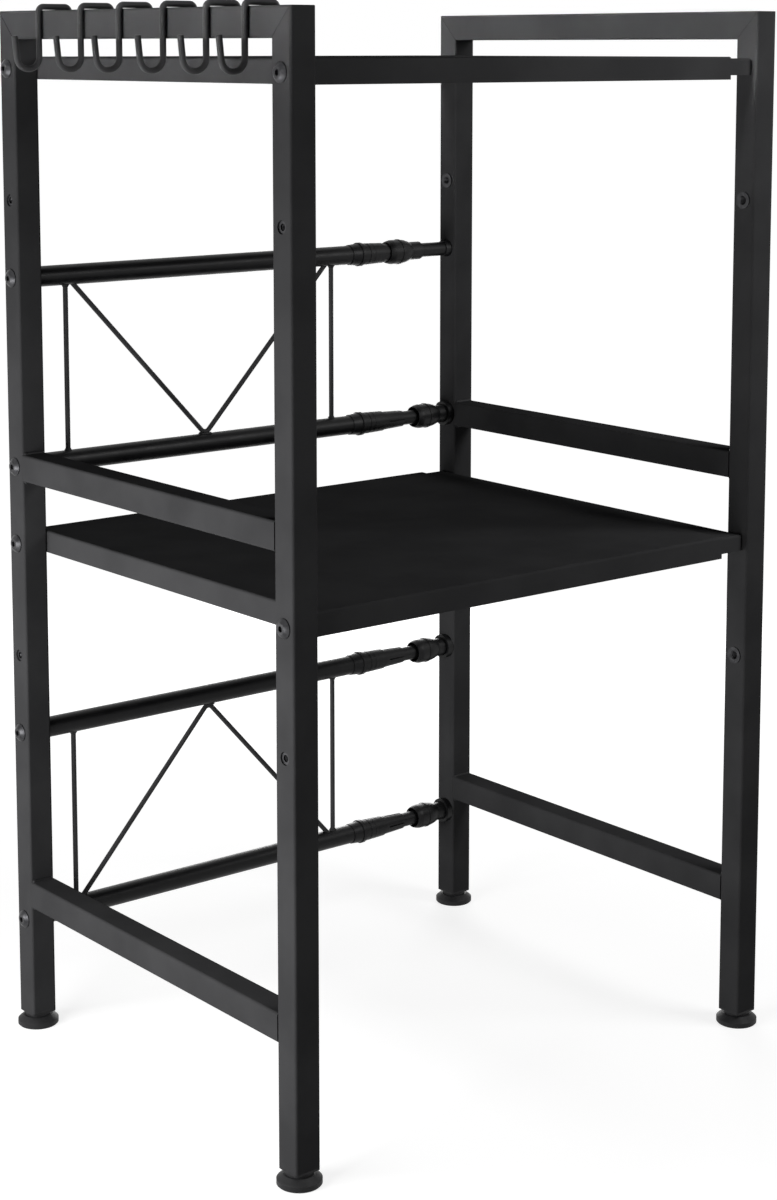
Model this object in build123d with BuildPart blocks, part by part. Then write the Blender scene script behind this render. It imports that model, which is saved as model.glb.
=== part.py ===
from build123d import *
import os

# Extending microwave stand: two welded side frames joined by telescoping shelves and rear bars
# Millimetres, +X towards the right frame, +Y towards the back, +Z up, as it stands nearly closed
height = 800.0
width = 457.0
depth = 370.0

# Square tube of the side frames
tube = 21.0
tube_wall = 1.0
tube_corner = 2.0
leg_bottom = 12.0
guard_rail_rise = 62.0
bottom_rail_top = 121.0

# Shelf trays: the outer one is bolted to the left frame, the inner one, nested under it, to the right
sheet = 1.0
fold_radius = 2.0
top_shelf_drop = 34.0
middle_shelf_height = 400.5
shelf_setback = 3.5
outer_lip = 17.0
inner_lip = 12.5
nest_gap = 0.3
outer_tray_short = 24.0
inner_tray_length = 380.0

# Bolts through the legs, and the drawn collars in the trays that the shelf bolts screw into
bolt_size = 6.0
bolt_head_size = 14.0
bolt_head_height = 3.2
bolt_head_edge = 0.8
bolt_socket_flats = 4.0
bolt_socket_depth = 2.0
bolt_hole_gap = 0.2
thread_gap = 0.05
shelf_bolt_drop = 9.0
drawn_collar_size = 7.8
drawn_collar_length = 2.5
bolt_end = 2.0

# Rivet nuts in the inner faces of the legs, behind access holes in the outer faces
upper_nut_drop = 142.5
lower_nut_drop = 98.0
rivet_nut_bore = 5.0
rivet_nut_mouth = 7.0
rivet_nut_body = 8.8
rivet_nut_inset = 1.0
rivet_flange_size = 12.8
rivet_flange_thickness = 1.0
access_hole = 9.2

# Telescopic rear bars: the upper one hangs from the top, the lower one from the middle shelf,
# the guard bar runs level with the guard rails
upper_bar_drop = 202.0
lower_bar_drop = 160.0
bottom_bar_height = 88.5
outer_bar_size = 16.0
outer_bar_wall = 1.2
outer_bar_length = 316.0
inner_bar_size = 12.0
inner_bar_wall = 1.0
inner_bar_length = 350.0
bar_plug_length = 15.0
bar_bolt_reach = 12.0
slide_gap = 0.15
fixed_gap = 0.05

# Collet on the end of each outer bar: cone, bead, ribbed body, and a slotted taper that grips the inner bar
collet_sleeve = 11.0
collet_lead_wall = 0.5
collet_cone = 8.5
collet_size = 18.6
collet_bead_size = 20.2
collet_bead_width = 3.0
collet_body = 35.0
collet_body_end_size = 17.2
collet_rib_depth = 0.5
collet_rib_width = 2.0
collet_rib_places = (17.5, 22.5, 27.5)
collet_shoulder_size = 16.0
collet_taper = 22.5
collet_tip_size = 13.8
collet_slot_width = 1.2
collet_slot_length = 18.0
collet_slot_count = 4

# Lock collar on each inner bar: a rounded knob with a cup for the collet, and a plain neck
collar_length = 37.0
collar_knob_size = 20.8
collar_knob_start = 5.0
collar_knob_end = 13.0
collar_neck_start = 25.0
collar_neck_size = 15.4
collar_mouth_wall = 0.6
collar_bead_width = 1.4
collar_bead_height = 0.4
collar_cup_depth = 22.0
collar_cup_gap = 0.4
collar_bore_gap = 0.3
collar_end_chamfer = 0.8
collar_engagement = 16.7

# Seats of the inner bars on the right rear leg; a parked collar's neck stands in its flange's recess
end_flange_size = 21.0
end_flange_thickness = 5.5
end_flange_recess = 4.5
end_flange_neck_gap = 0.4
end_cup_size = 14.4
end_cup_mouth_size = 13.6
end_cup_length = 6.0
park_gap = 0.3

# Wire braces between the outer bars
brace_wire = 4.0
brace_start = 26.5
brace_length = 260.0
brace_bend = 5.0
weld_sink = 0.5

# Wire hooks over the left top bar, by their share of the way from its middle to its ends
hook_wire = 4.5
hook_gap = 0.3
hook_inner_leg = 16.0
hook_drop = 45.0
hook_corner = 4.0
hook_bend = 9.0
hook_tip_rise = 24.0
hook_flare = 2.5
hook_end_fillet = 0.8
hook_places = (-0.75, -0.51, -0.23, 0.07, 0.345, 0.66)

# Levelling feet and their sockets in the leg ends
foot_size = 32.0
foot_disc = 5.0
foot_edge = 0.8
foot_cone_size = 23.0
foot_cone = 3.0
foot_boss_size = 20.0
foot_gap = 0.3
stud_size = 8.0
stud_top = 40.0
stud_gap = 0.3
socket_flange = 1.5
socket_length = 16.0

# Heights that follow the top of the stand or its middle shelf
top_shelf_height = height - top_shelf_drop
guard_rail_top = middle_shelf_height + guard_rail_rise
rivet_nut_heights = (height - upper_nut_drop, middle_shelf_height - lower_nut_drop)
bar_heights = {
    "upper": height - upper_bar_drop,
    "guard": guard_rail_top - tube / 2,
    "lower": middle_shelf_height - lower_bar_drop,
    "bottom": bottom_bar_height,
}

# The origin lies on the floor under the middle of the whole stand, with its hooks and feet
hook_reach = hook_gap + hook_wire + 2 * hook_bend + hook_flare
foot_overhang = (foot_size - tube) / 2
left_face = (hook_reach - foot_overhang - width) / 2
right_face = left_face + width
left_seat = left_face + tube
right_seat = right_face - tube
leg_y = (depth - tube) / 2
bar_y = leg_y
rail_length = depth - 2 * tube
bolt_hole = bolt_size + 2 * bolt_hole_gap
bolt_tap = bolt_size + 2 * thread_gap
outer_tray_half_depth = depth / 2 - shelf_setback
inner_tray_half_depth = outer_tray_half_depth - sheet - nest_gap
collet_start = left_seat + outer_bar_length - collet_sleeve
collet_end = collet_start + collet_body + collet_taper

LEFT, RIGHT = -1, 1
FRONT, BACK = -1, 1
SIDE_NAMES = {LEFT: "left", RIGHT: "right"}
END_NAMES = {FRONT: "front", BACK: "rear"}
OUTER_FACES = {LEFT: left_face, RIGHT: right_face}
SEATS = {LEFT: left_seat, RIGHT: right_seat}
SHELF_TOPS = {"top": top_shelf_height, "middle": middle_shelf_height}

os.makedirs("parts", exist_ok=True)


def save(part, name):
    part.label = name
    export_step(part, f"parts/{name}.step")


def tube_centre(side):
    return OUTER_FACES[side] - side * tube / 2


def tube_profile():
    """The square tube's section, drawn in the open sketch."""
    RectangleRounded(tube, tube, tube_corner)
    inside = tube - 2 * tube_wall
    RectangleRounded(inside, inside, tube_corner - tube_wall, mode=Mode.SUBTRACT)


def mitre_plane(end):
    """The 45 degree cut between a leg and the top bar, with its normal into the bar."""
    return Plane(origin=(0, end * depth / 2, height), z_dir=(0, -end, 1))


def profile_plane(x, z, side=RIGHT):
    """A plane through a rear bar's axis, to draw what is revolved about it."""
    return Plane(origin=(x, bar_y, z), x_dir=(side, 0, 0), z_dir=(0, -side, 0))


def bar_axis(z):
    return Axis((0, bar_y, z), (1, 0, 0))


# Side frames
def leg(side, end):
    """An upright with its mitred top, through bolt holes, rivet nut seats and access holes."""
    y = end * leg_y
    low_x = tube_centre(side) - tube / 2
    bolt_heights = [top - shelf_bolt_drop for top in SHELF_TOPS.values()]
    if end == BACK:
        bolt_heights += bar_heights.values()
    with BuildPart() as upright:
        with BuildSketch(Plane((tube_centre(side), y, leg_bottom))):
            tube_profile()
        extrude(amount=height - leg_bottom)
        split(bisect_by=mitre_plane(end), keep=Keep.BOTTOM)
        with BuildSketch(Plane.YZ.offset(low_x)):
            with Locations([(y, z) for z in bolt_heights]):
                Circle(bolt_hole / 2)
            with Locations([(y, z) for z in rivet_nut_heights]):
                Circle(access_hole / 2)
        extrude(amount=tube, mode=Mode.SUBTRACT)
    return upright.part


def cross_tube(side, top, length):
    """A square tube along Y with its upper face at the given height."""
    with BuildPart() as bar:
        with BuildSketch(Plane((tube_centre(side), -length / 2, top - tube / 2), z_dir=(0, 1, 0))):
            tube_profile()
        extrude(amount=length)
    return bar.part


def top_bar(side):
    """The top tube, mitred at both ends to meet the legs."""
    with BuildPart() as bar:
        add(cross_tube(side, height, depth))
        split(bisect_by=mitre_plane(FRONT), keep=Keep.TOP)
        split(bisect_by=mitre_plane(BACK), keep=Keep.TOP)
    return bar.part


def rivet_nut(side, y, z):
    """A flanged nut in a leg's inner face, with a countersunk mouth; the thread is a plain bore."""
    seat = SEATS[side]
    bore = rivet_nut_bore / 2
    body_end = tube - rivet_nut_inset
    with BuildPart() as nut:
        with BuildSketch(Plane((seat, y, z), x_dir=(side, 0, 0), z_dir=(0, -side, 0))):
            with BuildLine():
                Polyline(
                    (-rivet_flange_thickness, rivet_nut_mouth / 2),
                    (-rivet_flange_thickness, rivet_flange_size / 2),
                    (0, rivet_flange_size / 2),
                    (0, rivet_nut_body / 2),
                    (body_end, rivet_nut_body / 2),
                    (body_end, bore),
                    (0, bore),
                    close=True,
                )
            make_face()
        revolve(axis=Axis((seat, y, z), (1, 0, 0)))
    return nut.part


def rivet_nuts(side):
    with BuildPart() as nuts:
        for y in (-leg_y, leg_y):
            for z in rivet_nut_heights:
                add(rivet_nut(side, y, z))
    return nuts.part


def foot_sockets(side):
    """Moulded plugs in the bottom ends of a frame's legs, bored for the feet's studs."""
    inside = tube - 2 * tube_wall - 2 * fixed_gap
    with BuildPart() as sockets:
        for y in (-leg_y, leg_y):
            with BuildSketch(Plane((tube_centre(side), y, leg_bottom))):
                RectangleRounded(inside, inside, tube_corner - tube_wall)
                Circle(stud_size / 2 + stud_gap, mode=Mode.SUBTRACT)
            extrude(amount=socket_length)
            with BuildSketch(Plane((tube_centre(side), y, leg_bottom - socket_flange))):
                RectangleRounded(tube, tube, tube_corner)
                Circle(stud_size / 2 + stud_gap, mode=Mode.SUBTRACT)
            extrude(amount=socket_flange)
    return sockets.part


def foot(side, end):
    """A levelling foot: a disc, a cone, a boss that ends below the socket, and a stud."""
    x, y = tube_centre(side), end * leg_y
    rim = foot_size / 2
    boss_top = leg_bottom - socket_flange - foot_gap
    with BuildPart() as leveller:
        with BuildSketch(Plane((x, y, 0), x_dir=(1, 0, 0), z_dir=(0, -1, 0))):
            with BuildLine():
                Polyline(
                    (0, 0),
                    (rim - foot_edge, 0),
                    (rim, foot_edge),
                    (rim, foot_disc - foot_edge),
                    (rim - foot_edge, foot_disc),
                    (foot_cone_size / 2, foot_disc + foot_cone),
                    (foot_boss_size / 2, foot_disc + foot_cone),
                    (foot_boss_size / 2, boss_top),
                    (stud_size / 2, boss_top),
                    (stud_size / 2, stud_top),
                    (0, stud_top),
                    close=True,
                )
            make_face()
        revolve(axis=Axis((x, y, 0), (0, 0, 1)))
    return leveller.part


# Shelves
def tray(side, top, half_depth, lip, length, bolt_height):
    """A folded sheet tray, open below and at its free end, with drawn collars in its side lip."""
    seat = SEATS[side]
    closed, free = (0, -1) if side == LEFT else (-1, 0)
    with BuildPart() as folded:
        with BuildSketch(Plane((seat - side * length / 2, 0, top - lip))):
            Rectangle(length, 2 * half_depth)
        extrude(amount=lip)
        long_bends = folded.edges().group_by(Axis.Z)[-1].filter_by(Axis.X)
        closed_face = folded.faces().sort_by(Axis.X)[closed]
        end_bends = closed_face.edges().filter_by(Axis.Z) + closed_face.edges().group_by(Axis.Z)[-1]
        fillet(long_bends + end_bends, fold_radius)
        underside = folded.faces().sort_by(Axis.Z)[0]
        free_face = folded.faces().sort_by(Axis.X)[free]
        offset(amount=-sheet, openings=[underside, free_face])
        with BuildSketch(Plane((seat, 0, bolt_height), x_dir=(0, 1, 0), z_dir=(-side, 0, 0))):
            with Locations((-leg_y, 0), (leg_y, 0)):
                Circle(drawn_collar_size / 2)
        extrude(amount=sheet + drawn_collar_length)
        with BuildSketch(Plane((seat, 0, bolt_height), x_dir=(0, 1, 0), z_dir=(-side, 0, 0))):
            with Locations((-leg_y, 0), (leg_y, 0)):
                Circle(bolt_tap / 2)
        extrude(amount=sheet + drawn_collar_length, mode=Mode.SUBTRACT)
    return folded.part


# Fasteners
def bolt(side, y, z, reach):
    """A button-head bolt that enters a leg's outer face; the thread is plain."""
    face = OUTER_FACES[side]
    radius = bolt_head_size / 2
    crown = bolt_head_height
    with BuildPart() as fastener:
        with BuildSketch(Plane((face, y, z), x_dir=(side, 0, 0), z_dir=(0, -side, 0))):
            with BuildLine():
                Polyline(
                    (crown, bolt_socket_flats),
                    (crown, 0),
                    (0, 0),
                    (0, radius),
                    (bolt_head_edge, radius),
                )
                RadiusArc((bolt_head_edge, radius), (crown, bolt_socket_flats), radius)
            make_face()
        revolve(axis=Axis((face, y, z), (1, 0, 0)))
        with BuildSketch(Plane((face, y, z), z_dir=(-side, 0, 0))):
            Circle(bolt_size / 2)
        extrude(amount=reach)
        with BuildSketch(Plane((face + side * crown, y, z), z_dir=(-side, 0, 0))):
            RegularPolygon(bolt_socket_flats / 2, 6, major_radius=False)
        extrude(amount=bolt_socket_depth, mode=Mode.SUBTRACT)
    return fastener.part


def shelf_bolts(side):
    reach = tube + sheet + drawn_collar_length + bolt_end
    with BuildPart() as bolts:
        for y in (-leg_y, leg_y):
            for top in SHELF_TOPS.values():
                add(bolt(side, y, top - shelf_bolt_drop, reach))
    return bolts.part


def bar_bolts(side):
    with BuildPart() as bolts:
        for z in bar_heights.values():
            add(bolt(side, bar_y, z, tube + bar_bolt_reach))
    return bolts.part


# Telescopic rear bars
def round_tube(side, z, size, wall, length):
    """A round tube along X that starts on a rear leg's inner face."""
    with BuildPart() as bar:
        with BuildSketch(Plane((SEATS[side], bar_y, z), z_dir=(-side, 0, 0))):
            Circle(size / 2)
            Circle(size / 2 - wall, mode=Mode.SUBTRACT)
        extrude(amount=length)
    return bar.part


def bar_plugs(side, size, wall):
    """Tapped plugs in the bars' ends at one frame, which take the bar bolts."""
    with BuildPart() as plugs:
        for z in bar_heights.values():
            with BuildSketch(Plane((SEATS[side], bar_y, z), z_dir=(-side, 0, 0))):
                Circle(size / 2 - wall - fixed_gap)
                Circle(bolt_tap / 2, mode=Mode.SUBTRACT)
            extrude(amount=bar_plug_length)
    return plugs.part


def collet(z):
    """The moulded collet of one rear bar, ribbed on its body and slotted along its taper."""
    sleeve_bore = outer_bar_size / 2 + fixed_gap
    slide_bore = inner_bar_size / 2 + slide_gap
    taper_end = collet_body + collet_taper
    bead_start = collet_sleeve - collet_bead_width / 2
    bead_end = collet_sleeve + collet_bead_width / 2
    with BuildPart() as gripper:
        with BuildSketch(profile_plane(collet_start, z)):
            with BuildLine():
                Polyline(
                    (0, sleeve_bore),
                    (0, sleeve_bore + collet_lead_wall),
                    (collet_cone, collet_size / 2),
                    (bead_start, collet_size / 2),
                    (bead_start, collet_bead_size / 2),
                    (bead_end, collet_bead_size / 2),
                    (bead_end, collet_size / 2),
                    (collet_body, collet_body_end_size / 2),
                    (collet_body, collet_shoulder_size / 2),
                    (taper_end, collet_tip_size / 2),
                    (taper_end, slide_bore),
                    (collet_sleeve, slide_bore),
                    (collet_sleeve, sleeve_bore),
                    close=True,
                )
            make_face()
            with Locations([(place, collet_size / 2) for place in collet_rib_places]):
                Rectangle(collet_rib_width, 2 * collet_rib_depth, mode=Mode.SUBTRACT)
        revolve(axis=bar_axis(z))
        slot_depth = collet_shoulder_size / 2 - slide_bore
        with BuildSketch(Plane((collet_end, bar_y, z), z_dir=(-1, 0, 0))):
            with PolarLocations(slide_bore + slot_depth / 2, collet_slot_count):
                Rectangle(2 * slot_depth, collet_slot_width)
        extrude(amount=collet_slot_length, mode=Mode.SUBTRACT)
    return gripper.part


def lock_collar(mouth_x, z):
    """The collar that clamps a collet: a rounded knob with a plain cup, a bead and a bored neck."""
    cup = collet_shoulder_size / 2 + collar_cup_gap
    bore = inner_bar_size / 2 + collar_bore_gap
    mouth = cup + collar_mouth_wall
    knob = collar_knob_size / 2
    neck = collar_neck_size / 2
    cup_cone = cup - bore
    with BuildPart() as collar:
        with BuildSketch(profile_plane(mouth_x, z)):
            with BuildLine():
                RadiusArc((0, mouth), (collar_knob_start, knob), collar_knob_size)
                Line((collar_knob_start, knob), (collar_knob_end, knob))
                TangentArc((collar_knob_end, knob), (collar_neck_start, neck), tangent=(1, 0))
                Polyline(
                    (collar_neck_start, neck),
                    (collar_length - collar_end_chamfer, neck),
                    (collar_length, neck - collar_end_chamfer),
                    (collar_length, bore),
                    (collar_cup_depth + cup_cone, bore),
                    (collar_cup_depth, cup),
                    (0, cup),
                    (0, mouth),
                )
            make_face()
            with Locations((collar_knob_end, knob)):
                Rectangle(collar_bead_width, 2 * collar_bead_height)
        revolve(axis=bar_axis(z))
    return collar.part


def end_flanges():
    """Recessed flanges on the right rear leg that take the necks of the parked collars."""
    bore = inner_bar_size / 2 + fixed_gap
    recess = collar_neck_size / 2 + end_flange_neck_gap
    floor = end_flange_thickness - end_flange_recess
    with BuildPart() as flanges:
        for name, z in bar_heights.items():
            if name == "upper":
                continue
            with BuildSketch(profile_plane(right_seat, z, LEFT)):
                with BuildLine():
                    Polyline(
                        (0, bore),
                        (0, end_flange_size / 2),
                        (end_flange_thickness, end_flange_size / 2),
                        (end_flange_thickness, recess),
                        (floor, recess),
                        (floor, bore),
                        close=True,
                    )
                make_face()
            revolve(axis=bar_axis(z))
    return flanges.part


def end_cup():
    """The flared cup at the right end of the upper bar."""
    bore = inner_bar_size / 2 + fixed_gap
    with BuildPart() as cup:
        with BuildSketch(profile_plane(right_seat, bar_heights["upper"], LEFT)):
            with BuildLine():
                Polyline(
                    (0, bore),
                    (0, end_cup_size / 2),
                    (end_cup_length, end_cup_mouth_size / 2),
                    (end_cup_length, bore),
                    close=True,
                )
            make_face()
        revolve(axis=bar_axis(bar_heights["upper"]))
    return cup.part


# Wire braces
def bar_outsides(low_z, high_z):
    """Two rear bars filled in, to cut a brace's ends to the bars' surfaces."""
    with BuildPart() as bars:
        with BuildSketch(Plane.YZ.offset(left_seat)):
            with Locations((bar_y, low_z), (bar_y, high_z)):
                Circle(outer_bar_size / 2)
        extrude(amount=outer_bar_length)
    return bars.part


def brace_post(x, low_z, high_z):
    with BuildPart() as post:
        with BuildSketch(Plane((x, bar_y, low_z))):
            Circle(brace_wire / 2)
        extrude(amount=high_z - low_z)
        add(bar_outsides(low_z, high_z), mode=Mode.SUBTRACT)
    return post.part


def brace_wire_bent(low_z, high_z, apex_up):
    """The bent wire from both posts' heads, or feet, to the middle of the other bar."""
    start_x = left_seat + brace_start
    reach = outer_bar_size / 2 + brace_wire / 2 - weld_sink
    end_z = low_z if apex_up else high_z
    apex_z = high_z - reach if apex_up else low_z + reach
    # The corner lies beyond the bend by as much as the bend's arc cuts off
    half = brace_length / 2
    rise = abs(end_z - apex_z)
    slant = (half**2 + rise**2) ** 0.5
    overshoot = brace_bend * (slant / half - 1)
    corner_z = apex_z + overshoot if apex_up else apex_z - overshoot
    with BuildPart() as wire:
        with BuildLine() as path:
            FilletPolyline(
                (start_x, bar_y, end_z),
                (start_x + half, bar_y, corner_z),
                (start_x + brace_length, bar_y, end_z),
                radius=brace_bend,
            )
        with BuildSketch(Plane(origin=path.line @ 0, z_dir=path.line % 0)):
            Circle(brace_wire / 2)
        sweep(path=path.line)
        add(bar_outsides(low_z, high_z), mode=Mode.SUBTRACT)
    return wire.part


# Hooks
def hook(y):
    """A wire hook that straddles the left top bar and turns out and up below it."""
    half_wire = hook_wire / 2
    inner_x = left_seat + hook_gap + half_wire
    outer_x = left_face - hook_gap - half_wire
    top_z = height + hook_gap + half_wire
    bottom_z = height - hook_drop + half_wire
    turn_x = outer_x - 2 * hook_bend
    with BuildPart() as bent:
        with BuildLine() as path:
            FilletPolyline(
                (inner_x, y, height - hook_inner_leg),
                (inner_x, y, top_z),
                (outer_x, y, top_z),
                (outer_x, y, bottom_z),
                (turn_x, y, bottom_z),
                (turn_x - hook_flare, y, bottom_z + hook_tip_rise),
                radius=[hook_corner, hook_corner, hook_bend, hook_bend],
            )
        with BuildSketch(Plane(origin=path.line @ 0, z_dir=path.line % 0)):
            Circle(half_wire)
        sweep(path=path.line)
        fillet(bent.edges().filter_by(GeomType.CIRCLE).sort_by(Axis.X)[0], hook_end_fillet)
    return bent.part


# Welded side frames with their nuts and foot sockets
for side, side_name in SIDE_NAMES.items():
    for end, end_name in END_NAMES.items():
        save(leg(side, end), f"{side_name}_{end_name}_leg")
        save(foot(side, end), f"{side_name}_{end_name}_foot")
    save(top_bar(side), f"{side_name}_top_bar")
    save(cross_tube(side, guard_rail_top, rail_length), f"{side_name}_guard_rail")
    save(cross_tube(side, bottom_rail_top, rail_length), f"{side_name}_bottom_rail")
    save(rivet_nuts(side), f"{side_name}_rivet_nuts")
    save(foot_sockets(side), f"{side_name}_foot_sockets")
    save(shelf_bolts(side), f"{side_name}_shelf_bolts")
    save(bar_bolts(side), f"{side_name}_bar_bolts")

# Shelf trays
outer_tray_length = right_seat - left_seat - outer_tray_short
for name, top in SHELF_TOPS.items():
    bolt_z = top - shelf_bolt_drop
    inner_top = top - sheet - nest_gap
    outer = tray(LEFT, top, outer_tray_half_depth, outer_lip, outer_tray_length, bolt_z)
    inner = tray(RIGHT, inner_top, inner_tray_half_depth, inner_lip, inner_tray_length, bolt_z)
    save(outer, f"{name}_shelf_outer_tray")
    save(inner, f"{name}_shelf_inner_tray")

# Rear bars, with the upper collar pushed onto its collet and the others parked at the right leg
parked_mouth = right_seat - (end_flange_thickness - end_flange_recess) - park_gap - collar_length
clamped_mouth = collet_end - collar_engagement
for name, z in bar_heights.items():
    save(round_tube(LEFT, z, outer_bar_size, outer_bar_wall, outer_bar_length), f"{name}_bar_outer_tube")
    save(round_tube(RIGHT, z, inner_bar_size, inner_bar_wall, inner_bar_length), f"{name}_bar_inner_tube")
    save(collet(z), f"{name}_bar_collet")
    save(lock_collar(clamped_mouth if name == "upper" else parked_mouth, z), f"{name}_bar_lock_collar")
save(bar_plugs(LEFT, outer_bar_size, outer_bar_wall), "left_bar_plugs")
save(bar_plugs(RIGHT, inner_bar_size, inner_bar_wall), "right_bar_plugs")
save(end_flanges(), "bar_end_flanges")
save(end_cup(), "upper_bar_end_cup")

# Braces: the upper one points down and the lower one up
for name, high, low, apex_up in (("upper", "upper", "guard", False), ("lower", "lower", "bottom", True)):
    low_z, high_z = bar_heights[low], bar_heights[high]
    first_x = left_seat + brace_start
    save(brace_post(first_x, low_z, high_z), f"{name}_brace_left_post")
    save(brace_post(first_x + brace_length, low_z, high_z), f"{name}_brace_right_post")
    save(brace_wire_bent(low_z, high_z, apex_up), f"{name}_brace_bent_wire")

for number, share in enumerate(hook_places, start=1):
    save(hook(share * depth / 2), f"hook_{number}")
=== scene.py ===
from math import cos, pi, radians, sin

import bmesh
import bpy
from mathutils import Matrix, Vector


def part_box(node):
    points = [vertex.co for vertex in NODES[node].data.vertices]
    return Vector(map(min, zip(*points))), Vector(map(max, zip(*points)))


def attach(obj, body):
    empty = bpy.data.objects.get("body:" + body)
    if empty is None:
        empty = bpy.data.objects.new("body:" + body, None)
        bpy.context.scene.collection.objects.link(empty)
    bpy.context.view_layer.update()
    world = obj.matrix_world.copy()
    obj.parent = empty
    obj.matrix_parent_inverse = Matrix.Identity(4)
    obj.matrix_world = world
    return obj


# Black steel microwave stand: the frame's own nodes with their finishes, and welds and threads on them
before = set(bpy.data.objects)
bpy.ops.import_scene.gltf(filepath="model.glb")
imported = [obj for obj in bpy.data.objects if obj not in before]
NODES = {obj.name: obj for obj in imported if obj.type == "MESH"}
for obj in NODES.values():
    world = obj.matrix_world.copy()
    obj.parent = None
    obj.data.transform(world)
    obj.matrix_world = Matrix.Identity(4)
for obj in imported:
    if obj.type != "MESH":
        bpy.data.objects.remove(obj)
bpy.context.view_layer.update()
MM = 0.001

SIDES = ("left", "right")
ENDS = ("front", "rear")
BARS = ("upper", "guard", "lower", "bottom")
SHELVES = ("top", "middle")
BRACES = ("upper", "lower")
HOOKS = range(1, 7)


def span(node):
    """The lowest and highest corner of a node as vectors."""
    low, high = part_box(node)
    return Vector(low), Vector(high)


# Camera at the photograph's viewpoint, fitted to the edges of the legs, rails, shelves and feet
IMAGE_HEIGHT = 1200
FOCAL_PIXELS = 2374.8
# The row of the photograph that the lens looks straight at
AXIS_ROW = 365
SENSOR = 36.0
CAMERA_PLACE = Vector((-1.1278, -1.4137, 0.7733))
CAMERA_YAW = radians(38.85)
CAMERA_PITCH = radians(7.63)


def add_camera():
    """The camera, upright and shifted so that its frame is the photograph's."""
    data = bpy.data.cameras.new("photo_camera")
    data.sensor_width = SENSOR
    data.lens = SENSOR * FOCAL_PIXELS / IMAGE_HEIGHT
    data.shift_y = (AXIS_ROW - IMAGE_HEIGHT / 2) / IMAGE_HEIGHT
    camera = bpy.data.objects.new("photo_camera", data)
    camera.location = CAMERA_PLACE
    camera.rotation_euler = (pi / 2 - CAMERA_PITCH, 0, -CAMERA_YAW)
    bpy.context.collection.objects.link(camera)
    bpy.context.scene.camera = camera


add_camera()


# Materials
def linear(hex_colour):
    """An sRGB hex colour as the linear RGBA that the sockets take."""
    channels = [int(hex_colour[i : i + 2], 16) / 255 for i in (1, 3, 5)]
    return tuple(c / 12.92 if c <= 0.04045 else ((c + 0.055) / 1.055) ** 2.4 for c in channels) + (1.0,)


def add_node(tree, kind, sockets=None, **settings):
    """Adds a node, sets its own settings, and fills its inputs with values or with other nodes' outputs."""
    node = tree.nodes.new(kind)
    for name, value in settings.items():
        setattr(node, name, value)
    for socket, value in (sockets or {}).items():
        if isinstance(value, bpy.types.NodeSocket):
            tree.links.new(value, node.inputs[socket])
        else:
            node.inputs[socket].default_value = value
    return node


def new_material(name):
    """An empty material with its node tree and its output."""
    material = bpy.data.materials.new(name)
    material.use_nodes = True
    material.node_tree.nodes.clear()
    output = add_node(material.node_tree, "ShaderNodeOutputMaterial")
    return material, material.node_tree, output


def per_metre(size_mm):
    """The noise scale that gives features of this size."""
    return 1 / (size_mm * MM)


# The noise values between which the two tones, or the two limits, go over into each other
TONE_RANGE = (0.38, 0.62)
LIMIT_RANGE = (0.3, 0.7)


def blotched(tree, where, light, dark, size_mm):
    """Two near tones drifting into each other over the given size."""
    sockets = {"Vector": where, "Scale": per_metre(size_mm), "Detail": 3.0}
    drift = add_node(tree, "ShaderNodeTexNoise", sockets)
    tones = add_node(tree, "ShaderNodeValToRGB", {"Fac": drift.outputs["Fac"]})
    for element, position, tone in zip(tones.color_ramp.elements, TONE_RANGE, (dark, light)):
        element.position = position
        element.color = linear(tone)
    return tones.outputs["Color"]


def varied(tree, where, limits, size_mm):
    """A value that drifts between two limits over the given size."""
    sockets = {"Vector": where, "Scale": per_metre(size_mm), "Detail": 2.0}
    drift = add_node(tree, "ShaderNodeTexNoise", sockets)
    sockets = {
        "Value": drift.outputs["Fac"],
        "From Min": LIMIT_RANGE[0],
        "From Max": LIMIT_RANGE[1],
        "To Min": limits[0],
        "To Max": limits[1],
    }
    return add_node(tree, "ShaderNodeMapRange", sockets).outputs["Result"]


def powder_coated_steel(name, light, dark, roughness, specular, grain_mm, relief_mm):
    """Steel under baked powder: black, matt or satin, with a fine orange peel where light grazes it."""
    material, tree, output = new_material(name)
    where = add_node(tree, "ShaderNodeTexCoord").outputs["Object"]
    sockets = {"Vector": where, "Scale": per_metre(grain_mm), "Detail": 4.0}
    grain = add_node(tree, "ShaderNodeTexNoise", sockets)
    peel = add_node(
        tree,
        "ShaderNodeBump",
        {"Height": grain.outputs["Fac"], "Strength": 0.55, "Distance": relief_mm * MM},
    )
    coat = add_node(
        tree,
        "ShaderNodeBsdfPrincipled",
        {
            "Base Color": blotched(tree, where, light, dark, size_mm=55.0),
            "Roughness": varied(tree, where, roughness, size_mm=9.0),
            "IOR": 1.5,
            "Specular IOR Level": specular,
            "Normal": peel.outputs["Normal"],
        },
    )
    tree.links.new(coat.outputs["BSDF"], output.inputs["Surface"])
    return material


def moulded_plastic(name, light, dark, roughness, specular, grain_mm):
    """Black plastic from a spark-eroded mould: a fine even grain and a soft sheen."""
    material, tree, output = new_material(name)
    where = add_node(tree, "ShaderNodeTexCoord").outputs["Object"]
    grain = add_node(tree, "ShaderNodeTexVoronoi", {"Vector": where, "Scale": per_metre(grain_mm)})
    texture = add_node(
        tree,
        "ShaderNodeBump",
        {"Height": grain.outputs["Distance"], "Strength": 0.35, "Distance": 0.08 * MM},
    )
    resin = add_node(
        tree,
        "ShaderNodeBsdfPrincipled",
        {
            "Base Color": blotched(tree, where, light, dark, size_mm=14.0),
            "Roughness": varied(tree, where, roughness, size_mm=6.0),
            "IOR": 1.49,
            "Specular IOR Level": specular,
            "Normal": texture.outputs["Normal"],
        },
    )
    tree.links.new(resin.outputs["BSDF"], output.inputs["Surface"])
    return material


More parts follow.
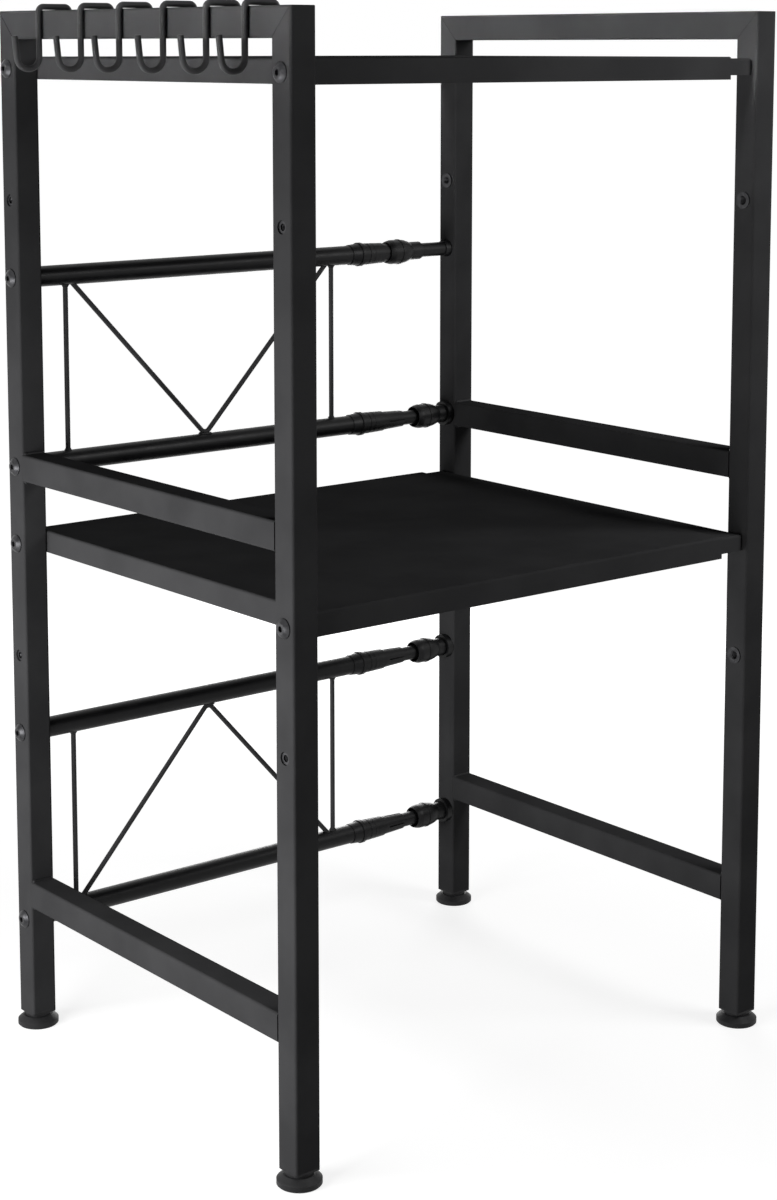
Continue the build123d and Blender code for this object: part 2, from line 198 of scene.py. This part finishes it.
def darkened_steel(name, light, dark, roughness):
    """Steel turned on a lathe and darkened, by oxide or zinc: dark metal with fine turning marks."""
    material, tree, output = new_material(name)
    where = add_node(tree, "ShaderNodeTexCoord").outputs["Object"]
    sockets = {"Vector": where, "Scale": per_metre(size_mm=0.7), "Detail": 3.0}
    marks = add_node(tree, "ShaderNodeTexNoise", sockets)
    turned = add_node(
        tree,
        "ShaderNodeBump",
        {"Height": marks.outputs["Fac"], "Strength": 0.25, "Distance": 0.05 * MM},
    )
    oxide = add_node(
        tree,
        "ShaderNodeBsdfPrincipled",
        {
            "Base Color": blotched(tree, where, light, dark, size_mm=4.0),
            "Metallic": 0.75,
            "Roughness": varied(tree, where, roughness, size_mm=3.0),
            "Normal": turned.outputs["Normal"],
        },
    )
    tree.links.new(oxide.outputs["BSDF"], output.inputs["Surface"])
    return material


# Powder coat on the square tubes: dead matt, so that the tops of the rails stay near black at a low angle
FRAME_COAT = powder_coated_steel(
    "black_powder_coat_on_square_tube",
    light="#414142",
    dark="#3b3b3c",
    roughness=(0.66, 0.76),
    specular=0.0,
    grain_mm=1.4,
    relief_mm=0.03,
)
# The same matt coat on sheet, with a finer grain
SHEET_COAT = powder_coated_steel(
    "black_powder_coat_on_folded_sheet",
    light="#444445",
    dark="#3f3f40",
    roughness=(0.82, 0.92),
    specular=0.0,
    grain_mm=1.2,
    relief_mm=0.03,
)
# The same coat on round tube: blacker, with a little gloss along the highlight
TUBE_COAT = powder_coated_steel(
    "black_powder_coat_on_round_tube",
    light="#171718",
    dark="#111112",
    roughness=(0.36, 0.46),
    specular=0.16,
    grain_mm=1.2,
    relief_mm=0.04,
)
# Thick soft coat on the wire of the braces and hooks, about as light as the frame behind it
WIRE_COAT = powder_coated_steel(
    "black_powder_coat_on_wire",
    light="#3e3e3f",
    dark="#343435",
    roughness=(0.46, 0.56),
    specular=0.12,
    grain_mm=1.0,
    relief_mm=0.03,
)
# Weld beads under the coat: a deeper grain, where the powder gathers
WELD_COAT = powder_coated_steel(
    "black_powder_coat_on_weld_bead",
    light="#303031",
    dark="#252526",
    roughness=(0.50, 0.62),
    specular=0.16,
    grain_mm=0.9,
    relief_mm=0.10,
)
# Nylon of the collets, lock collars and end flanges: near black, with a soft sheen
COLLET_NYLON = moulded_plastic(
    "black_nylon_injection_moulded",
    light="#1c1c1d",
    dark="#141415",
    roughness=(0.36, 0.46),
    specular=0.16,
    grain_mm=0.8,
)
# Polypropylene of the feet and their sockets: rougher and a little lighter than the nylon
FOOT_PLASTIC = moulded_plastic(
    "black_polypropylene_injection_moulded",
    light="#262627",
    dark="#1e1e1f",
    roughness=(0.46, 0.58),
    specular=0.18,
    grain_mm=0.9,
)
# Bolts: black with a metal glint on the dome of the head
BOLT_STEEL = darkened_steel(
    "black_oxide_steel_bolt", light="#3a3a3c", dark="#2a2a2c", roughness=(0.34, 0.46)
)
# Rivet nuts and bar plugs: a little greyer than the bolts, so that the nuts' rings show on the legs
NUT_STEEL = darkened_steel(
    "dark_zinc_plated_steel_nut", light="#3c3c3e", dark="#2e2e30", roughness=(0.34, 0.46)
)


def dress(material, *names):
    """Gives the frame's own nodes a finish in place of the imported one."""
    for name in names:
        if not NODES[name].material_slots:
            NODES[name].data.materials.append(material)
        for slot in NODES[name].material_slots:
            slot.material = material


for side in SIDES:
    for tube in ("front_leg", "rear_leg", "top_bar", "guard_rail", "bottom_rail"):
        dress(FRAME_COAT, f"{side}_{tube}")
    dress(NUT_STEEL, f"{side}_rivet_nuts", f"{side}_bar_plugs")
    dress(FOOT_PLASTIC, f"{side}_foot_sockets", f"{side}_front_foot", f"{side}_rear_foot")
    dress(BOLT_STEEL, f"{side}_shelf_bolts", f"{side}_bar_bolts")
for shelf in SHELVES:
    dress(SHEET_COAT, f"{shelf}_shelf_outer_tray", f"{shelf}_shelf_inner_tray")
for bar in BARS:
    dress(TUBE_COAT, f"{bar}_bar_outer_tube", f"{bar}_bar_inner_tube")
    dress(COLLET_NYLON, f"{bar}_bar_collet", f"{bar}_bar_lock_collar")
dress(COLLET_NYLON, "bar_end_flanges", "upper_bar_end_cup")
for brace in BRACES:
    dress(WIRE_COAT, f"{brace}_brace_left_post", f"{brace}_brace_right_post", f"{brace}_brace_bent_wire")
for number in HOOKS:
    dress(WIRE_COAT, f"hook_{number}")


# Pieces
SAME_POINT = 0.001 * MM


def add_piece(name, bm, material, body, smooth_angle):
    """Makes a mesh object from a bmesh, closed and with its normals outwards, and sets it on its body."""
    bmesh.ops.remove_doubles(bm, verts=bm.verts, dist=SAME_POINT)
    bmesh.ops.recalc_face_normals(bm, faces=bm.faces)
    mesh = bpy.data.meshes.new(name)
    bm.to_mesh(mesh)
    bm.free()
    mesh.materials.append(material)
    mesh.shade_smooth()
    mesh.set_sharp_from_angle(angle=radians(smooth_angle))
    piece = bpy.data.objects.new(name, mesh)
    bpy.context.collection.objects.link(piece)
    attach(piece, body)


def along(direction, place):
    """The placement that turns a piece's +Z to a direction and carries it to a place."""
    return Matrix.Translation(place) @ Vector(direction).to_track_quat("Z", "Y").to_matrix().to_4x4()


def band(bm, ring, following):
    """The faces between two closed rings of corners."""
    for index in range(len(ring)):
        bm.faces.new((ring[index - 1], ring[index], following[index], following[index - 1]))


# Welds: the ripples of a bead have a waist between them, and the bead starts and ends in a small face
BEAD_SIDES = 12
RIPPLE_WAIST = 0.82
BEAD_END = 0.45


def bead(bm, start, end, radius, pitch):
    """A run of weld: overlapping ripples one pitch apart, closed and narrowed at both ends."""
    run = end - start
    steps = 2 * max(2, round(run.length / pitch))
    shares = [RIPPLE_WAIST, 1.0] * (steps // 2) + [BEAD_END]
    shares[0] = BEAD_END
    rings = []
    for step, share in enumerate(shares):
        placement = along(run, start + run * step / steps)
        ring = []
        for side in range(BEAD_SIDES):
            angle = 2 * pi * side / BEAD_SIDES
            corner = Vector((cos(angle), sin(angle), 0)) * (share * radius)
            ring.append(bm.verts.new(placement @ corner))
        rings.append(ring)
    for ring, following in zip(rings, rings[1:]):
        band(bm, ring, following)
    bm.faces.new(rings[0])
    bm.faces.new(rings[-1])


RAIL_BEAD = 1.9 * MM
RAIL_RIPPLE = 2.2 * MM
BEAD_INSET = 1.6 * MM
SEAM_BEAD = 0.5 * MM
WELD_SMOOTH_ANGLE = 60


def rail_welds(side, rail):
    """Fillet welds along the top and bottom edges of a rail where it meets both legs."""
    low, high = span(f"{side}_{rail}")
    bm = bmesh.new()
    for y in (low.y, high.y):
        for z in (low.z, high.z):
            start = Vector((low.x + BEAD_INSET, y, z))
            end = Vector((high.x - BEAD_INSET, y, z))
            bead(bm, start, end, RAIL_BEAD, RAIL_RIPPLE)
    add_piece(f"{side}_{rail}_welds", bm, WELD_COAT, f"{side}_frame", WELD_SMOOTH_ANGLE)


def mitre_seams(side):
    """The ground seams that run across the frame's upper corners on both faces."""
    low, high = span(f"{side}_top_bar")
    size = high.z - low.z
    bm = bmesh.new()
    for x in (low.x, high.x):
        for y, inwards in ((low.y, 1), (high.y, -1)):
            outer = Vector((x, y + inwards * BEAD_INSET, high.z - BEAD_INSET))
            inner = Vector((x, y + inwards * size, low.z))
            bead(bm, outer, inner, SEAM_BEAD, RAIL_RIPPLE)
    add_piece(f"{side}_mitre_seams", bm, WELD_COAT, f"{side}_frame", WELD_SMOOTH_ANGLE)


for side in SIDES:
    rail_welds(side, "guard_rail")
    rail_welds(side, "bottom_rail")
    mitre_seams(side)


# Braces: a collar of weld round both ends of each post, and a bead on each side of a bent wire's middle
COLLAR_SPREAD = 1.2 * MM
COLLAR_RISE = 1.6 * MM
COLLAR_STEPS = 24
APEX_BEAD = 1.1 * MM
APEX_RUN = 5.0 * MM


def revolved(bm, profile, direction, place):
    """Adds a body of revolution from a closed profile of (radius, distance along the axis)."""
    rings = []
    for step in range(COLLAR_STEPS):
        placement = along(direction, place) @ Matrix.Rotation(2 * pi * step / COLLAR_STEPS, 4, "Z")
        rings.append([bm.verts.new(placement @ Vector((r, 0, z))) for r, z in profile])
    for ring, following in zip(rings, rings[1:] + rings[:1]):
        band(bm, ring, following)


def weld_collar(bm, place, direction, wire):
    """A weld that flares from a wire of this radius down onto a bar."""
    inside = 0.7 * wire
    foot = wire + COLLAR_SPREAD
    waist = wire + 0.55 * COLLAR_SPREAD
    lip = wire + 0.15 * COLLAR_SPREAD
    sunk = -0.9 * COLLAR_RISE
    profile = (
        (inside, sunk),
        (foot, sunk),
        (foot, -0.1 * COLLAR_RISE),
        (waist, 0.35 * COLLAR_RISE),
        (lip, COLLAR_RISE),
        (inside, COLLAR_RISE),
    )
    revolved(bm, profile, direction, place)


def brace_welds(brace, high_bar, low_bar):
    """All the welds that hold one brace between its two bars."""
    low, high = span(f"{high_bar}_bar_outer_tube")
    bar_y = (low.y + high.y) / 2
    high_bar_bottom = low.z
    low_bar_top = span(f"{low_bar}_bar_outer_tube")[1].z
    bm = bmesh.new()
    for post in ("left", "right"):
        low, high = span(f"{brace}_brace_{post}_post")
        x = (low.x + high.x) / 2
        wire = (high.x - low.x) / 2
        weld_collar(bm, Vector((x, bar_y, high_bar_bottom)), (0, 0, -1), wire)
        weld_collar(bm, Vector((x, bar_y, low_bar_top)), (0, 0, 1), wire)
    low, high = span(f"{brace}_brace_bent_wire")
    x = (low.x + high.x) / 2
    # The bent wire's middle rests on the bar that its ends don't start from
    z = low_bar_top if brace == "upper" else high_bar_bottom
    # One bead on each side of it, since it is as thick as the posts
    for y in (bar_y - wire, bar_y + wire):
        bead(bm, Vector((x - APEX_RUN, y, z)), Vector((x + APEX_RUN, y, z)), APEX_BEAD, RAIL_RIPPLE)
    add_piece(f"{brace}_brace_welds", bm, WELD_COAT, "left_frame", WELD_SMOOTH_ANGLE)


brace_welds("upper", "upper", "guard")
brace_welds("lower", "lower", "bottom")


# Threads: moulded on the studs of the feet, tapped in the rivet nuts
STUD_START = 10.4 * MM
STUD_RADIUS = 4.0 * MM
STUD_THREAD = {"pitch": 1.5 * MM, "ridge": 0.22 * MM}
NUT_FLANGE_RADIUS = 6.4 * MM
NUT_FLANGE_THICKNESS = 1.0 * MM
NUT_RADIUS = 2.5 * MM
NUT_LENGTH = 19.5 * MM
NUT_THREAD = {"pitch": 0.8 * MM, "ridge": 0.22 * MM}
THREAD_STEPS = 24
THREAD_SMOOTH_ANGLE = 30
# How deep a ridge's foot is sunk, as a share of its height
RIDGE_SUNK = 0.6
# Half of a ridge's width, as a share of the pitch
RIDGE_HALF = 0.42


def thread(bm, place, direction, radius, length, pitch, ridge, inward=False):
    """A screw's ridge wound about an axis: a triangle turned and moved on, closed at both ends."""
    turns = int(length / pitch) - 1
    reach = -ridge if inward else ridge
    wound = bmesh.new()
    root = radius - RIDGE_SUNK * reach
    half = RIDGE_HALF * pitch
    outline = ((root, 0, 0), (radius + reach, 0, half), (root, 0, 2 * half))
    face = wound.faces.new([wound.verts.new(spot) for spot in outline])
    bmesh.ops.spin(
        wound,
        geom=[*face.verts, *face.edges, face],
        cent=(0, 0, 0),
        axis=(0, 0, 1),
        dvec=(0, 0, pitch / THREAD_STEPS),
        angle=2 * pi * turns,
        steps=THREAD_STEPS * turns,
    )
    bmesh.ops.transform(wound, matrix=along(direction, place), verts=wound.verts)
    made = bpy.data.meshes.new("thread")
    wound.to_mesh(made)
    wound.free()
    bm.from_mesh(made)
    bpy.data.meshes.remove(made)


def foot_threads(side, end):
    """The ridge on a levelling foot's stud, from just above its cone to its top."""
    low, high = span(f"{side}_{end}_foot")
    centre = (low + high) / 2
    start = Vector((centre.x, centre.y, low.z + STUD_START))
    bm = bmesh.new()
    thread(bm, start, (0, 0, 1), STUD_RADIUS, high.z - start.z, **STUD_THREAD)
    body = f"{side}_{end}_foot_screwed"
    add_piece(f"{side}_{end}_foot_thread", bm, FOOT_PLASTIC, body, THREAD_SMOOTH_ANGLE)


def nut_threads(side):
    """The tapped bores of a frame's rivet nuts, from their seats outwards through the legs."""
    low, high = span(f"{side}_rivet_nuts")
    if side == "left":
        outwards = -1
        seat = high.x - NUT_FLANGE_THICKNESS
    else:
        outwards = 1
        seat = low.x + NUT_FLANGE_THICKNESS
    bm = bmesh.new()
    for y in (low.y + NUT_FLANGE_RADIUS, high.y - NUT_FLANGE_RADIUS):
        for z in (low.z + NUT_FLANGE_RADIUS, high.z - NUT_FLANGE_RADIUS):
            place = Vector((seat, y, z))
            thread(bm, place, (outwards, 0, 0), NUT_RADIUS, NUT_LENGTH, inward=True, **NUT_THREAD)
    add_piece(f"{side}_rivet_nut_threads", bm, NUT_STEEL, f"{side}_frame", THREAD_SMOOTH_ANGLE)


for side in SIDES:
    nut_threads(side)
    for end in ENDS:
        foot_threads(side, end)


# Surroundings: a pale floor, a white backdrop and soft lamps
WHITE = (1, 1, 1, 1)
FLOOR_PAPER = "#b4b4b4"
FLOOR_HALF_SIDE = 40.0
# The floor's own glow under the stand, and the distances between which it rises to white
FLOOR_GLOW = 0.78
GLOW_START = 0.3
GLOW_END = 1.5
WORLD_FILL = 0.03


def background_rays(tree):
    """One for the rays that see the background: from the camera, off gloss and through glass."""
    path = add_node(tree, "ShaderNodeLightPath")
    sockets = {0: path.outputs["Is Camera Ray"], 1: path.outputs["Is Glossy Ray"]}
    seen = add_node(tree, "ShaderNodeMath", sockets, operation="MAXIMUM").outputs["Value"]
    sockets = {0: seen, 1: path.outputs["Is Transmission Ray"]}
    return add_node(tree, "ShaderNodeMath", sockets, operation="MAXIMUM").outputs["Value"]


def add_floor():
    """Plain paper under the stand, which goes over into the white backdrop behind it."""
    material, tree, output = new_material("pale_studio_floor")
    where = add_node(tree, "ShaderNodeTexCoord").outputs["Object"]
    distance = add_node(tree, "ShaderNodeVectorMath", {0: where}, operation="LENGTH").outputs["Value"]
    sockets = {
        "Value": distance,
        "From Min": GLOW_START,
        "From Max": GLOW_END,
        "To Min": FLOOR_GLOW,
        "To Max": 1.0,
    }
    level = add_node(tree, "ShaderNodeMapRange", sockets).outputs["Result"]
    lift = add_node(tree, "ShaderNodeMath", {0: background_rays(tree), 1: level}, operation="MULTIPLY")
    glow = add_node(tree, "ShaderNodeEmission", {"Color": WHITE, "Strength": lift.outputs["Value"]})
    paper = add_node(tree, "ShaderNodeBsdfDiffuse", {"Color": linear(FLOOR_PAPER)})
    both = add_node(tree, "ShaderNodeAddShader", {0: glow.outputs["Emission"], 1: paper.outputs["BSDF"]})
    tree.links.new(both.outputs["Shader"], output.inputs["Surface"])
    bm = bmesh.new()
    bmesh.ops.create_grid(bm, x_segments=1, y_segments=1, size=FLOOR_HALF_SIDE)
    mesh = bpy.data.meshes.new("studio_floor")
    bm.to_mesh(mesh)
    bm.free()
    mesh.materials.append(material)
    floor = bpy.data.objects.new("studio_floor", mesh)
    bpy.context.collection.objects.link(floor)


def add_world():
    """A white backdrop for the rays that see it, and a faint fill for the light on the stand."""
    world = bpy.data.worlds.new("studio")
    world.use_nodes = True
    tree = world.node_tree
    tree.nodes.clear()
    sockets = {"Value": background_rays(tree), "To Min": WORLD_FILL, "To Max": 1.0}
    level = add_node(tree, "ShaderNodeMapRange", sockets).outputs["Result"]
    sky = add_node(tree, "ShaderNodeBackground", {"Color": WHITE, "Strength": level})
    output = add_node(tree, "ShaderNodeOutputWorld")
    tree.links.new(sky.outputs["Background"], output.inputs["Surface"])
    bpy.context.scene.world = world


def add_softbox(name, place, aim, width, height, radiance, spread=180):
    """An area lamp aimed at a point. Its power follows from its radiance and size, and a grid narrows it."""
    data = bpy.data.lights.new(name, "AREA")
    data.shape = "RECTANGLE"
    data.size = width
    data.size_y = height
    data.energy = radiance * pi * width * height
    data.spread = radians(spread)
    lamp = bpy.data.objects.new(name, data)
    lamp.location = place
    lamp.rotation_euler = (Vector(aim) - Vector(place)).to_track_quat("-Z", "Y").to_euler()
    lamp.visible_camera = False
    bpy.context.collection.objects.link(lamp)


add_floor()
add_world()
# The main lamp, low at the left, so that the tops of the shelves and upper rails stay dark
add_softbox(
    "left_softbox",
    place=(-0.90, 0.0, 0.30),
    aim=(-0.2, 0.0, 0.34),
    width=0.7,
    height=0.36,
    radiance=11.4,
)
# A gridded strip higher up at the left, so narrow that it lights little but the top of the frames
add_softbox(
    "upper_left_softbox",
    place=(-1.6, 0.0, 1.04),
    aim=(0.22, 0.0, 0.79),
    width=1.0,
    height=0.12,
    radiance=2.1,
    spread=8,
)
# In front at the right, for the faces that look forward
add_softbox(
    "right_softbox",
    place=(0.56, -0.72, 0.98),
    aim=(0.2, -0.18, 0.66),
    width=0.4,
    height=0.4,
    radiance=8.4,
)
# For the back of the stand
add_softbox(
    "rear_softbox",
    place=(1.0, 1.1, 0.42),
    aim=(0.0, 0.0, 0.42),
    width=0.8,
    height=0.6,
    radiance=5.5,
)
# A weak fill from above
add_softbox(
    "top_softbox",
    place=(0.0, 0.0, 1.9),
    aim=(0.0, 0.0, 0.0),
    width=1.0,
    height=1.0,
    radiance=0.35,
)

bpy.context.scene.view_settings.view_transform = "Standard"
